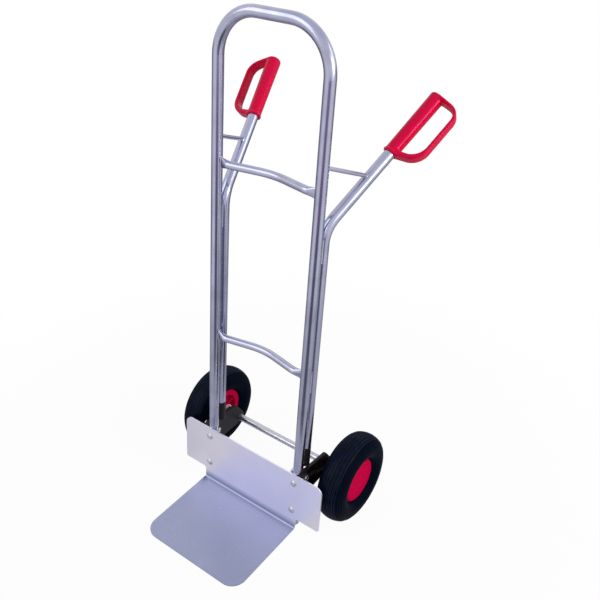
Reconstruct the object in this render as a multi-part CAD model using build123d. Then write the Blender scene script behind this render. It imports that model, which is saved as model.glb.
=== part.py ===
from build123d import *
import os
from math import cos, radians, sin, sqrt

# Sack truck: a leaning loop frame of aluminium tube, two handle tubes with moulded guard grips, a folded toe
# plate with wheel ears, and two pneumatic wheels that spin on one fixed axle.
# Millimetres, +Z up, +X to the right as seen from the load, the load on the -Y side, the floor at z = 0.
# Frame pieces are drawn square to the uprights (x across, y back, z up along the tubes, from the foot of the
# frame) and then leaned back. The finished truck is moved so that its box stands centred on the origin.

# Frame tubes
lean_angle = 5.0            # uprights lean back from the square of the toe plate
tube_od = 28.0
tube_wall = 2.5
upright_spacing = 304.0     # between the centre lines of the uprights
loop_height = 1340.0        # foot of the frame to the centre line of the loop's top
loop_bend_radius = 105.0
upright_foot = 8.0          # lower tube ends above the foot of the frame

# Handle tubes, which run down behind the uprights
handle_corner_height = 895.0    # where the handle's line leaves the upright
handle_back_angle = 47.7
handle_splay_angle = 12.8
handle_bend_radius = 80.0
handle_length = 405.0           # corner to the tube end inside the grip
handle_foot = 262.0             # lower tube ends, on the moulded feet

# Cross bars with flattened ends, bowed back to cradle round loads
bar_od = 20.0
bar_wall = 2.0
upper_bar_height = 986.0
lower_bar_height = 502.0
bar_bow = 25.0
bar_bow_radius = 180.0
bar_stub = 26.0             # straight end of a bar, square to the upright
bar_stub_radius = 40.0
bar_flat_length = 20.0
bar_flat_height = 28.0
bar_flat_thickness = 6.4
bar_flat_slit = 1.6

# Brace rods between uprights and handles
brace_od = 10.0
brace_height = 1049.0       # on the upright
brace_reach = 162.0         # on the handle, from its corner

# Stitch welds in the grooves between each upright and its handle tube
weld_heights = (845.0, 478.0, 330.0)
weld_length = 60.0
weld_radius = 3.5
weld_depth = 6.5            # bead centre, sideways from the line where the tubes touch

# Grips
grip_foot_od = 35.0
grip_end_od = 38.0
grip_insert = 173.0         # tube length inside the grip
grip_end_wall = 7.0
grip_end_radius = 5.0
grip_collar_od = 39.0
grip_collar_length = 7.0
grip_collar_radius = 2.0
grip_clearance = 0.03
guard_reach = 73.0          # handle axis to the guard's outer face
guard_thickness = 9.0
guard_width = 27.0
guard_edge_radius = 3.0
guard_root_radius = 3.0     # where its arms leave the sleeve
guard_foot_length = 14.0    # flat under the sleeve's foot, before the lower arm climbs
guard_foot_rise = 18.0      # outer corner of the lower arm above the grip's foot
guard_foot_thickness = 11.0
guard_foot_radius = 46.0
guard_foot_inner_rise = 26.0
guard_foot_inner_radius = 40.0
guard_head_drop = 7.0       # outer corner of the upper arm below the grip's end
guard_head_thickness = 8.0
guard_head_radius = 36.0
guard_head_inner_radius = 26.0
guard_roll = 10.0           # guard plane turned about the handle

# Toe plate folded from sheet, with an ear in front of each wheel
plate_thickness = 4.0
toe_depth = 255.0           # face of the flange to the front edge
toe_width = 332.0
toe_corner_radius = 42.0
fold_radius = 6.0
flange_height = 188.0
ear_width = 488.0           # over both ears
ear_foot = 37.0
ear_corner_radius = 22.0
ear_foot_radius = 6.0
ear_relief_radius = 8.0

# Fasteners
bolt_d = 8.0
bolt_clearance = 0.4        # of a hole over its bolt, on the diameter
hex_across = 13.0
hex_head = 5.3
nut_height = 6.5
dome_head_d = 19.0
dome_head = 4.6
bolt_end = 2.0              # thread beyond the nut
plate_bolt_heights = (62.0, 158.0)
bracket_bolt_heights = (122.0, 183.0)

# Axle brackets, moulded
wheel_offset = 80.0         # side of the upright to the wheel's middle
wheel_gap = 10.0            # tyre to the plane of the ears' back
bracket_saddle = 6.0        # how far the bracket reaches round the upright
bracket_web = 3.0           # wall left behind the saddle at its deepest
bracket_rib_height = 9.0    # ribs and bolt bosses beyond the plate
bracket_front_radius = 13.0
bracket_axle_radius = 19.0
bracket_axle_boss = 16.0
bracket_bolt_boss = 11.0
bracket_corner_radius = 7.0
bracket_corner_back = 114.0     # rear upper corner, behind the upright's centre line
bracket_corner_height = 192.0
bracket_rib = 5.0
bracket_boss_stand = 4.0    # axle boss beyond the bracket's outer face

# Plugs in the uprights, and moulded feet of the handle tubes
plug_cap = 3.0
plug_depth = 14.0
plug_clearance = 0.05
handle_plug_length = 62.0   # below the handle tube
handle_plug_radius = 2.0

# Axle and what holds the wheels on it
axle_d = 20.0
axle_clearance = 0.05
spacer_od = 30.0
washer_od = 34.0
washer_thickness = 2.0
retainer_od = 30.0
retainer_skin = 1.5         # over the axle's end
axle_end_stand = 3.0        # axle beyond the outer washer
axle_chamfer = 1.0
side_play = 0.3

# Wheels
wheel_od = 260.0
tyre_width = 85.0
tyre_wall = 7.0
tyre_waist_r = 91.0         # radius at which the tyre is widest
tread_width = 54.0
tread_drop = 6.4            # tread's edge below its crown
bead_stand = 1.0            # tyre's bead above the rim's lip
bead_width = 9.0
tread_groove_count = 4
tread_groove_pitch = 11.0
tread_groove_width = 3.2
tread_groove_depth = 2.6
rim_od = 127.0
rim_width = 54.0
rim_lip = 4.0
rim_lip_radius = 1.4
bead_seat_d = 102.0
rim_barrel = 5.0
rim_web = 6.0
rim_rib_count = 8
rim_rib = 4.0
hub_od = 42.0
hub_bore = 28.0
hub_inner = 34.0            # wheel's middle to the hub's inner end
hub_outer = 16.0
bush_length = 22.0
bush_flange_od = 36.0
bush_flange = 2.0
bush_clearance = 0.02
cap_rim_gap = 3.0           # rim lip left showing round the hub cap
cap_thickness = 2.6
cap_edge_radius = 1.6
cap_crown = 1.5
cap_skirt = 10.0
cap_skirt_wall = 3.0
tube_skin = 2.5
tube_gap = 0.4
valve_d = 8.0
valve_hole_d = 8.6
valve_bore = 3.0
valve_length = 31.0
valve_tilt = 40.0
valve_offset = 5.0          # valve foot from the wheel's middle, towards the frame
valve_cap_d = 9.6
valve_cap_length = 11.0
valve_cap_overlap = 8.0
valve_cap_radius = 1.2

# Places that follow from the sizes above
tube_r = tube_od / 2
upright_x = upright_spacing / 2
handle_y = tube_od
lean = radians(lean_angle)
leaned = Rot(X=-lean_angle)
handle_corner = Vector(upright_x, handle_y, handle_corner_height)
handle_way = Vector(
    sin(radians(handle_splay_angle)),
    cos(radians(handle_splay_angle)) * sin(radians(handle_back_angle)),
    cos(radians(handle_splay_angle)) * cos(radians(handle_back_angle)),
)
handle_end = handle_corner + handle_way * handle_length
grip_length = grip_insert + grip_end_wall
grip_foot = handle_corner + handle_way * (handle_length - grip_insert)
bolt_r = bolt_d / 2
bolt_hole_r = (bolt_d + bolt_clearance) / 2
flange_back = -tube_r
flange_face = flange_back - plate_thickness
wheel_r = wheel_od / 2
wheel_x = upright_x + tube_r + wheel_offset
axle_r = axle_d / 2
# The axle lies a wheel's radius above the floor and clears the ears, in the frame's own leaned axes
axle_back = wheel_r + wheel_gap + flange_back
axle_up = (wheel_r + axle_back * sin(lean)) / cos(lean)
axle_centre = leaned * Pos(0, axle_back, axle_up)
bracket_inside = upright_x + tube_r - bracket_saddle
bracket_plate = bracket_saddle + bracket_web
bracket_outside = bracket_inside + bracket_plate + bracket_rib_height
boss_face = bracket_outside + bracket_boss_stand
hub_inner_face = wheel_x - hub_inner - bush_flange
hub_outer_face = wheel_x + hub_outer + bush_flange
outer_washer = hub_outer_face + side_play


def mirrored(shape):
    """The left-hand copy of a right-hand piece."""
    return mirror(shape, about=Plane.YZ)


def group(shapes):
    """Several pieces as one group of separate solids."""
    return Compound([solid for shape in shapes for solid in shape.solids()])


def both_sides(shape):
    """A right-hand piece and its left-hand copy, as one group of solids."""
    return group([shape, mirrored(shape)])


def tube(path, od, wall):
    """A round tube along a path, open at both ends."""
    start = Plane(path @ 0, z_dir=path % 0)
    return sweep(start * Circle(od / 2), path=path) - sweep(start * Circle(od / 2 - wall), path=path)


def rod(start, end, radius):
    """A plain round bar between two points."""
    return extrude(Plane(start, z_dir=end - start) * Circle(radius), amount=(end - start).length)


def across(x, y, z, radius, length):
    """A round bar along +X from a point of the frame."""
    return rod(Vector(x, y, z), Vector(x + length, y, z), radius)


def ring(x, outer_r, inner_r, length):
    """A plain ring on the axle's line, from x outwards, before it is set at the axle."""
    return extrude(Plane.YZ.offset(x) * (Circle(outer_r) - Circle(inner_r)), amount=length)


def turned(profile):
    """A wheel piece turned about the X axis from a profile of (x from the middle, radius)."""
    return revolve(profile, axis=Axis.X)


def span(width, inner_r, outer_r):
    """A block of a turned profile: centred on x = 0, between two radii."""
    return Pos(0, (inner_r + outer_r) / 2) * Rectangle(width, outer_r - inner_r)


def at_wheel(shape):
    """A wheel piece, made about the origin, at the right-hand wheel."""
    return Pos(wheel_x, 0, 0) * shape


def through_frame(height):
    """A bolt hole from front to back through the right upright and what is clamped to it."""
    return rod(Vector(upright_x, -tube_od, height), Vector(upright_x, tube_od, height), bolt_hole_r)


# Frame tubes


def upright_holes():
    """Bolt holes through the uprights, for the toe plate and the brackets."""
    to_plate = [through_frame(height) for height in plate_bolt_heights]
    start = upright_x - tube_od
    return to_plate + [across(start, 0, height, bolt_hole_r, 2 * tube_od) for height in bracket_bolt_heights]


def loop_tube():
    """One tube bent into both uprights and the round top."""
    path = FilletPolyline(
        (-upright_x, 0, upright_foot),
        (-upright_x, 0, loop_height),
        (upright_x, 0, loop_height),
        (upright_x, 0, upright_foot),
        radius=loop_bend_radius,
    )
    holes = upright_holes()
    return tube(path, tube_od, tube_wall) - holes - [mirrored(hole) for hole in holes]


def handle_path():
    """Centre line of the right handle tube, up behind the upright and out to the grip."""
    foot = Vector(upright_x, handle_y, handle_foot)
    return FilletPolyline(foot, handle_corner, handle_end, radius=handle_bend_radius)


def handle_tube():
    """The right handle tube."""
    return tube(handle_path(), tube_od, tube_wall)


def bar_end(x, outline):
    """A cross-section of a bar's end at x: an ellipse of (half height, half depth)."""
    return Plane((x, 0, 0), x_dir=(0, 0, 1), z_dir=(1, 0, 0)) * Ellipse(*outline)


def flattened_end(half_sizes, flat_sizes):
    """The run of a bar's right end from round to flat, up to the upright."""
    end = upright_x - tube_r
    start = end - bar_flat_length
    middle = [(round_size + flat_size) / 2 for round_size, flat_size in zip(half_sizes, flat_sizes)]
    sections = [bar_end(start, half_sizes), bar_end((start + end) / 2, middle), bar_end(end, flat_sizes)]
    return loft(sections)


def cross_bar(height):
    """A bowed cross bar whose flattened ends meet the inner sides of the uprights."""
    end = upright_x - tube_r
    corner = end - bar_stub
    path = FilletPolyline(
        (-(end - bar_flat_length), 0, 0),
        (-corner, 0, 0),
        (0, bar_bow, 0),
        (corner, 0, 0),
        (end - bar_flat_length, 0, 0),
        radius=[bar_stub_radius, bar_bow_radius, bar_stub_radius],
    )
    radius = bar_od / 2
    bore = radius - bar_wall
    outside = flattened_end((radius, radius), (bar_flat_height / 2, bar_flat_thickness / 2))
    inside = flattened_end((bore, bore), (bar_flat_height / 2 - bar_wall, bar_flat_slit / 2))
    stub = outside - inside
    return Pos(0, 0, height) * (tube(path, bar_od, bar_wall) + stub + mirrored(stub))


def brace_rod():
    """The right brace, from the back of the upright to the handle, cut to sit on both tubes."""
    root = Vector(upright_x, 0, brace_height)
    tip = handle_corner + handle_way * brace_reach
    upright = rod(root - Vector(0, 0, tube_od), root + Vector(0, 0, tube_od), tube_r)
    handle = rod(tip - handle_way * tube_od, tip + handle_way * tube_od, tube_r)
    return rod(root, tip, brace_od / 2) - upright - handle


def stitch_welds():
    """Weld beads down both grooves between the right upright and its handle tube."""
    tubes = Pos(upright_x, 0) * Circle(tube_r) + Pos(upright_x, handle_y) * Circle(tube_r)
    beads = [
        Pos(0, 0, height - weld_length / 2) * extrude(bead, amount=weld_length)
        for height in weld_heights
        for side in (-1, 1)
        for bead in (Pos(upright_x + side * weld_depth, handle_y / 2) * Circle(weld_radius) - tubes,)
    ]
    return group(beads)


# Grips


def grip_plane():
    """The right grip's own axes: origin at the sleeve's foot, z along the handle, x towards the guard."""
    outward = Vector(1, 0, 0) - handle_way * handle_way.X
    outward = outward.rotate(Axis((0, 0, 0), handle_way), guard_roll)
    return Plane(grip_foot, x_dir=outward, z_dir=handle_way)


def guard():
    """The guard: a thick lower arm, a bar along the hand and an upper arm flush with the sleeve's end."""
    inner_reach = guard_reach - guard_thickness
    outer = FilletPolyline(
        (0, 0),
        (guard_foot_length, 0),
        (guard_reach, guard_foot_rise),
        (guard_reach, grip_length - guard_head_drop),
        (0, grip_length),
        radius=[guard_foot_length, guard_foot_radius, guard_head_radius],
    )
    inner = FilletPolyline(
        (0, guard_foot_thickness),
        (inner_reach, guard_foot_inner_rise),
        (inner_reach, grip_length - guard_head_drop - guard_head_thickness),
        (0, grip_length - guard_head_thickness),
        radius=[guard_foot_inner_radius, guard_head_inner_radius],
    )
    ends = Line(outer @ 0, inner @ 0) + Line(outer @ 1, inner @ 1)
    outline = make_face(outer.edges() + inner.edges() + ends.edges())
    bar = extrude(Plane.XZ * outline, amount=guard_width / 2, both=True)
    sides = bar.faces().filter_by(Axis.Y).edges()
    return fillet(sides.filter_by(lambda edge: edge.center().X > grip_foot_od / 4), radius=guard_edge_radius)


def sleeve():
    """The sleeve, turned a little wider towards its end, and the collar round its foot."""
    foot, end = -grip_foot_od / 2, -grip_end_od / 2
    half_section = Polyline((0, 0), (foot, 0), (end, grip_length), (0, grip_length), (0, 0))
    body = revolve(Plane.XZ * make_face(half_section.edges()), axis=Axis.Z)
    body = fillet(body.edges().filter_by(GeomType.CIRCLE).sort_by(Axis.Z)[-1], radius=grip_end_radius)
    collar = extrude(Circle(grip_collar_od / 2), amount=grip_collar_length)
    return body + fillet(collar.edges().filter_by(GeomType.CIRCLE), radius=grip_collar_radius)


def grip():
    """The right moulded grip: a blind sleeve over the tube end, with the guard rounded into its side."""

    def at_root(edge):
        """Whether an edge lies where an arm of the guard leaves the sleeve, inside the finger gap."""
        at = edge.center()
        beside = grip_foot_od / 4 < at.X < grip_end_od / 2
        return beside and guard_foot_thickness < at.Z < grip_length - guard_head_thickness

    body = sleeve() + guard()
    body = fillet(body.edges().filter_by(at_root), radius=guard_root_radius)
    bore = extrude(Circle(tube_r + grip_clearance), amount=grip_insert)
    return grip_plane() * (body - bore)


# Toe plate and its bolts


def fold_profile():
    """Side view of the folded sheet: the toe lies on the floor, the flange leans back with the uprights."""

    def on_floor_line(y, z):
        """Where the leaned line at depth y of the frame crosses a height above the floor."""
        up = (z + y * sin(lean)) / cos(lean)
        return (y * cos(lean) + up * sin(lean), z)

    def along_flange(y):
        """The top of the flange at depth y of the frame."""
        return (y * cos(lean) + flange_height * sin(lean), flange_height * cos(lean) - y * sin(lean))

    heel = on_floor_line(flange_face, plate_thickness)
    front = heel[0] - toe_depth
    under = FilletPolyline(
        (front, 0),
        on_floor_line(flange_back, 0),
        along_flange(flange_back),
        radius=fold_radius + plate_thickness,
    )
    over = FilletPolyline((front, plate_thickness), heel, along_flange(flange_face), radius=fold_radius)
    ends = Line(under @ 0, over @ 0) + Line(under @ 1, over @ 1)
    return make_face(under.edges() + over.edges() + ends.edges())


def plate_front_view():
    """Front view of the plate: as wide as the toe below, with an ear on each side of the flange."""
    hung = (Align.CENTER, Align.MAX)
    outline = Rectangle(toe_width, flange_height + toe_depth, align=hung)
    outline += Rectangle(ear_width, flange_height - ear_foot, align=hung)
    outline = Pos(0, flange_height) * outline
    inner_corners = outline.vertices().filter_by(lambda corner: abs(abs(corner.X) - toe_width / 2) < bolt_d)
    outline = fillet(inner_corners.group_by(Axis.Y)[-1], radius=ear_relief_radius)
    tips = outline.vertices().group_by(Axis.Y)[-1]
    outline = fillet(tips, radius=ear_corner_radius)
    lower_tips = outline.vertices().filter_by(lambda corner: abs(corner.X) > ear_width / 2 - bolt_d)
    return fillet(lower_tips.group_by(Axis.Y)[0], radius=ear_foot_radius)


def toe_plate():
    """The toe plate with rounded front corners, and the flange whose ears stand in front of the wheels."""
    sheet = extrude(Plane.YZ * fold_profile(), amount=ear_width / 2, both=True)
    front_view = leaned * extrude(Plane.XZ * plate_front_view(), amount=2 * toe_depth, both=True)
    sheet = sheet & front_view
    front = sheet.edges().filter_by(Axis.Z).group_by(Axis.Y)[0]
    sheet = fillet(front, radius=toe_corner_radius)
    holes = [leaned * through_frame(height) for height in plate_bolt_heights]
    return sheet - holes - [mirrored(hole) for hole in holes]


def dome_bolt(height):
    """A round-headed bolt from the flange's face through the upright."""
    cap_radius = (dome_head_d**2 / 4 + dome_head**2) / (2 * dome_head)
    ball = Pos(0, 0, dome_head - cap_radius) * Sphere(cap_radius)
    head = ball & extrude(Circle(dome_head_d), amount=dome_head)
    length = tube_od + plate_thickness + nut_height + bolt_end
    bolt = head + extrude(Circle(bolt_r), amount=-length)
    return Plane((upright_x, flange_face, height), z_dir=(0, -1, 0)) * bolt


def nut():
    """A hexagon nut on z = 0, bored to its bolt."""
    hexagon = RegularPolygon(hex_across / 2, 6, major_radius=False)
    return extrude(hexagon - Circle(bolt_r + bolt_clearance / 2), amount=nut_height)


def toe_plate_bolts():
    """The right upright's two toe plate bolts."""
    return group(dome_bolt(height) for height in plate_bolt_heights)


def toe_plate_nuts():
    """Nuts of those bolts, on the back of the right upright."""
    seats = [Plane((upright_x, tube_r, height), z_dir=(0, 1, 0)) for height in plate_bolt_heights]
    return group(seat * nut() for seat in seats)


# Axle brackets


def bracket_disc(y, z, radius):
    """A disc in the bracket's plane, at a depth and height of the frame."""
    return Pos(y, z) * Circle(radius)


def bracket_outline():
    """Side view of the bracket: a plate from the upright to the axle, with a level top edge."""
    corner_y = bracket_corner_back - bracket_corner_radius
    corner_z = bracket_corner_height - bracket_corner_radius
    discs = [bracket_disc(0, height, bracket_front_radius) for height in bracket_bolt_heights]
    discs.append(bracket_disc(axle_back, axle_up, bracket_axle_radius))
    discs.append(bracket_disc(corner_y, corner_z, bracket_corner_radius))
    return make_hull([edge for disc in discs for edge in disc.edges()])


def bracket_bosses():
    """Side view of what stands on the plate: bosses of the axle and both bolts, and the ribs between them."""
    bosses = bracket_disc(axle_back, axle_up, bracket_axle_boss)
    for height in bracket_bolt_heights:
        bosses += bracket_disc(0, height, bracket_bolt_boss)
        spoke = Line((0, height), (axle_back, axle_up))
        bosses += trace(spoke, line_width=bracket_rib)
    return bosses


def axle_bracket():
    """The right bracket: a plate saddled on the upright and ribbed on its outer side, bored for the axle."""
    inner_plane = Plane.YZ.offset(bracket_inside)
    body = extrude(inner_plane * bracket_outline(), amount=bracket_plate)
    body += extrude(inner_plane * bracket_bosses(), amount=bracket_plate + bracket_rib_height)
    boss = bracket_disc(axle_back, axle_up, bracket_axle_boss)
    length = boss_face - bracket_inside
    body += extrude(inner_plane * boss, amount=length)
    body -= across(bracket_inside, axle_back, axle_up, axle_r + axle_clearance, length)
    for height in bracket_bolt_heights:
        body -= across(bracket_inside, 0, height, bolt_hole_r, length)
    return body - rod(Vector(upright_x, 0, upright_foot), Vector(upright_x, 0, handle_corner_height), tube_r)


def bracket_bolts():
    """The right bracket's two hexagon bolts, from its outer side through the upright."""
    shank = bracket_outside - (upright_x - tube_r) + nut_height + bolt_end
    bolt = extrude(RegularPolygon(hex_across / 2, 6, major_radius=False), amount=hex_head)
    bolt += extrude(Circle(bolt_r), amount=-shank)
    seats = [Plane((bracket_outside, 0, height), z_dir=(1, 0, 0)) for height in bracket_bolt_heights]
    return group(seat * bolt for seat in seats)


def bracket_nuts():
    """Nuts of those bolts, on the inner side of the right upright."""
    seats = [Plane((upright_x - tube_r, 0, height), z_dir=(-1, 0, 0)) for height in bracket_bolt_heights]
    return group(seat * nut() for seat in seats)


# Plugs in the tube ends


def plug(cap_length, edge_radius):
    """A moulded plug that closes a frame tube's end: the cap below z = 0, the shank inside the tube."""
    cap = extrude(Circle(tube_r), amount=-cap_length)
    cap = fillet(cap.edges().filter_by(GeomType.CIRCLE).sort_by(Axis.Z)[0], radius=edge_radius)
    return cap + extrude(Circle(tube_r - tube_wall - plug_clearance), amount=plug_depth)


def foot_plug():
    """The plug in the right upright's lower end."""
    return Pos(upright_x, 0, upright_foot) * plug(plug_cap, plug_cap / 2)


def handle_plug():
    """The long plug that carries the right handle tube's end down beside the bracket."""
    return Pos(upright_x, handle_y, handle_foot) * plug(handle_plug_length, handle_plug_radius)


# Axle, and what spaces and holds the wheels on it


def axle():
    """The fixed axle through both brackets and both wheels, with chamfered ends."""
    half = outer_washer + washer_thickness + axle_end_stand
    bar = extrude(Plane.YZ * Circle(axle_r), amount=half, both=True)
    return chamfer(bar.edges().filter_by(GeomType.CIRCLE), length=axle_chamfer)


def axle_spacer():
    """Sleeve between the right bracket's boss and the inner washer."""
    length = hub_inner_face - side_play - washer_thickness - boss_face
    return ring(boss_face, spacer_od / 2, axle_r + axle_clearance, length)


def axle_washers():
    """Washers on both sides of the right hub."""
    inner = ring(hub_inner_face - side_play, washer_od / 2, axle_r + axle_clearance, -washer_thickness)
    outer = ring(outer_washer, washer_od / 2, axle_r + axle_clearance, washer_thickness)
    return group([inner, outer])


def axle_retainer():
    """Pressed cap on the right end of the axle, which keeps the wheel on."""
    start = Plane.YZ.offset(outer_washer + washer_thickness)
    cap = extrude(start * Circle(retainer_od / 2), amount=axle_end_stand + retainer_skin)
    cap = fillet(cap.edges().sort_by(Axis.X)[-1], radius=retainer_skin)
    return cap - extrude(start * Circle(axle_r + axle_clearance), amount=axle_end_stand)


# Wheels, made about the X axis with x = 0 in the wheel's middle


def tyre_outline():
    """Section of the whole tyre, filled, from the bead seat to the tread."""
    half, edge = tyre_width / 2, tread_width / 2
    bead = (rim_width / 2 - rim_lip, rim_od / 2 + bead_stand)
    foot = (bead[0], bead_seat_d / 2)
    waist = (half, tyre_waist_r)
    shoulder = (edge, wheel_r - tread_drop)
    right = [
        Line(foot, bead),
        TangentArc(waist, bead, tangent=(0, -1)),
        TangentArc(waist, shoulder, tangent=(0, 1)),
        TangentArc((0, wheel_r), shoulder, tangent=(1, 0)),
    ]
    left = [mirror(edge, about=Plane.YZ) for edge in right]
    return make_face([*right, *left, Line(foot, (-foot[0], foot[1]))])


def tyre_hollow():
    """Section of the air space in the tyre, open between the beads."""
    mouth = 2 * (rim_width / 2 - rim_lip - bead_width)
    throat = Pos(0, bead_seat_d / 2) * Rectangle(mouth, 4 * tyre_wall, align=(Align.CENTER, Align.MIN))
    return offset(tyre_outline(), -tyre_wall) + throat


def tread_groove(index):
    """Section of one groove, square to the wheel's axis and cut to its depth below the crown."""
    x = (index - (tread_groove_count - 1) / 2) * tread_groove_pitch
    crown_radius = (tread_width**2 / 4 + tread_drop**2) / (2 * tread_drop)
    fall = crown_radius - sqrt(crown_radius**2 - x**2)
    return Pos(x, wheel_r) * Rectangle(tread_groove_width, 2 * (tread_groove_depth + fall))


def tyre():
    """Tyre with ribbed tread, open towards the rim."""
    grooves = [tread_groove(index) for index in range(tread_groove_count)]
    return turned(tyre_outline() - tyre_hollow() - grooves)


def inner_tube():
    """Air tube inside the tyre, pierced where the valve enters it."""
    outside = offset(tyre_hollow(), -tube_gap)
    body = turned(outside - offset(outside, -tube_skin))
    return body - valve_axis() * extrude(Circle(valve_hole_d / 2), amount=valve_length)


def rim_ribs():
    """Ribs from hub to barrel on the rim's inner side."""
    inner, outer = (hub_od + hub_bore) / 4, (bead_seat_d - rim_barrel) / 2
    depth = rim_width / 2 - rim_lip
    rib = Box(depth, rim_rib, outer - inner, align=(Align.MAX, Align.CENTER, Align.MIN))
    turn = 360 / rim_rib_count
    return [Rot(X=(index + 0.5) * turn) * Pos(0, 0, inner) * rib for index in range(rim_rib_count)]


def rim():
    """Moulded rim: two lips, barrel, web and hub, ribbed on the inner side."""
    half, lip, seat, hub = rim_width / 2, rim_od / 2, bead_seat_d / 2, hub_od / 2
    barrel = seat - rim_barrel
    lips = [Pos(side * (half - rim_lip / 2), 0) * span(rim_lip, barrel, lip) for side in (-1, 1)]
    lips = [fillet(edge.vertices().group_by(Axis.Y)[-1], radius=rim_lip_radius) for edge in lips]
    hub_middle = Pos((hub_outer - hub_inner) / 2, 0)
    section = hub_middle * span(hub_inner + hub_outer, hub_bore / 2, hub) + span(rim_web, hub, barrel)
    section += span(rim_width, barrel, seat) + lips
    body = turned(section) + rim_ribs()
    return body - valve_axis() * extrude(Circle(valve_hole_d / 2), amount=valve_length, both=True)


def bush(face, way):
    """Flanged bush in one end of the hub: its flange stands on the hub's face and its sleeve runs inwards."""
    flange = ring(face, bush_flange_od / 2, axle_r + axle_clearance, way * bush_flange)
    sleeve = ring(face, hub_bore / 2 - bush_clearance, axle_r + axle_clearance, -way * bush_length)
    return flange + sleeve


def hub_cap():
    """Slightly crowned disc over the rim's outer side, with a skirt that snaps into the barrel."""
    back, radius = rim_width / 2, rim_od / 2 - cap_rim_gap
    face = back + cap_thickness
    apex = face + cap_crown
    section = make_face(
        [
            TangentArc((apex, 0), (face, radius), tangent=(0, 1)),
            *Polyline((face, radius), (back, radius), (back, 0), (apex, 0)).edges(),
        ]
    )
    rim_corner = section.vertices().group_by(Axis.Y)[-1].sort_by(Axis.X)[-1]
    section = fillet(rim_corner, radius=cap_edge_radius)
    skirt_r = bead_seat_d / 2 - rim_barrel - bush_clearance
    return turned(section) + ring(back, skirt_r, skirt_r - cap_skirt_wall, -cap_skirt)


def valve_axis():
    """The valve's line: from inside the tyre, through the barrel, to the rim's inner side."""
    foot = Vector(-valve_offset, 0, -(bead_seat_d / 2 + tube_skin))
    way = Vector(-sin(radians(valve_tilt)), 0, cos(radians(valve_tilt)))
    return Plane(foot, z_dir=way)


def valve_stem():
    """Valve stem with its air bore."""
    return valve_axis() * extrude(Circle(valve_d / 2) - Circle(valve_bore / 2), amount=valve_length)


def valve_cap():
    """Cap on the stem's end."""
    cap = extrude(Circle(valve_cap_d / 2), amount=valve_cap_length)
    cap = fillet(cap.edges().sort_by(Axis.Z)[-1], radius=valve_cap_radius)
    cap -= extrude(Circle(valve_d / 2 + bush_clearance), amount=valve_cap_overlap)
    return valve_axis() * Pos(0, 0, valve_length - valve_cap_overlap) * cap


# Assembly

pieces = {
    "loop_tube": leaned * loop_tube(),
    "upper_cross_bar": leaned * cross_bar(upper_bar_height),
    "lower_cross_bar": leaned * cross_bar(lower_bar_height),
    "toe_plate": toe_plate(),
    "axle": axle_centre * axle(),
}
for name, shape in (
    ("handle_tube", leaned * handle_tube()),
    ("brace_rod", leaned * brace_rod()),
    ("stitch_welds", leaned * stitch_welds()),
    ("grip", leaned * grip()),
    ("axle_bracket", leaned * axle_bracket()),
    ("tyre", axle_centre * at_wheel(tyre())),
    ("inner_tube", axle_centre * at_wheel(inner_tube())),
    ("rim", axle_centre * at_wheel(rim())),
    ("inner_bush", axle_centre * at_wheel(bush(-hub_inner, -1))),
    ("outer_bush", axle_centre * at_wheel(bush(hub_outer, 1))),
    ("hub_cap", axle_centre * at_wheel(hub_cap())),
    ("valve_stem", axle_centre * at_wheel(valve_stem())),
    ("valve_cap", axle_centre * at_wheel(valve_cap())),
):
    pieces[name + "_right"] = shape
    pieces[name + "_left"] = mirrored(shape)
for name, shape in (
    ("toe_plate_bolts", leaned * toe_plate_bolts()),
    ("toe_plate_nuts", leaned * toe_plate_nuts()),
    ("bracket_bolts", leaned * bracket_bolts()),
    ("bracket_nuts", leaned * bracket_nuts()),
    ("foot_plugs", leaned * foot_plug()),
    ("handle_plugs", leaned * handle_plug()),
    ("axle_spacers", axle_centre * axle_spacer()),
    ("axle_washers", axle_centre * axle_washers()),
    ("axle_retainers", axle_centre * axle_retainer()),
):
    pieces[name] = both_sides(shape)

# The truck's box is centred on the origin, front to back
box = group(pieces.values()).bounding_box()
centred = Pos(0, -(box.min.Y + box.max.Y) / 2, 0)

os.makedirs("parts", exist_ok=True)
for name, piece in pieces.items():
    export_step(centred * piece, f"parts/{name}.step")
print("box", box.size, "axle", (centred * axle_centre).position)
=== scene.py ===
"""Looks of the sack truck: a finish for every CAD piece, and modelled tyres, welds, grips and fasteners."""

import logging
from dataclasses import dataclass, field, replace
from enum import Enum
from math import atan2, cos, radians, sin, sqrt, tau
from typing import Any, Callable, Iterable, Sequence

import bpy
from mathutils import Matrix, Vector

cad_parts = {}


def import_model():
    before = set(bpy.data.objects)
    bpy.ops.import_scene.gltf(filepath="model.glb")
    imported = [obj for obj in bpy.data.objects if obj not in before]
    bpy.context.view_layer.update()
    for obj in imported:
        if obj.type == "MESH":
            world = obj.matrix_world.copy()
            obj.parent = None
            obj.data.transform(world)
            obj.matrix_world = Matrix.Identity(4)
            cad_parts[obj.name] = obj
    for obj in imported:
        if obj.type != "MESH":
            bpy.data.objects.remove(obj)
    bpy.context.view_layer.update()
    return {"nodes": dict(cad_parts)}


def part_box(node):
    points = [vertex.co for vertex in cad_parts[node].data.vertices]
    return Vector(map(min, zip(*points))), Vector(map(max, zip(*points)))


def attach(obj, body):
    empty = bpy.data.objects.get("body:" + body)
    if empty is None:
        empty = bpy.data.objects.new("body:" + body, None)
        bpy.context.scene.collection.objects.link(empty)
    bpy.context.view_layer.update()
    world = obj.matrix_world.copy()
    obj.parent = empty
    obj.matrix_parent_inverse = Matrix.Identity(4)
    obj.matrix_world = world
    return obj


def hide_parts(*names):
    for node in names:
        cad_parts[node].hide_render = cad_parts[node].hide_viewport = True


log = logging.getLogger("sack_truck")

Piece = bpy.types.Object
Nodes = dict[str, Piece]
Material = bpy.types.Material
Socket = bpy.types.NodeSocket
Span = tuple[float, float]
Colour = tuple[float, float, float]
Outline = list[Span]

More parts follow.
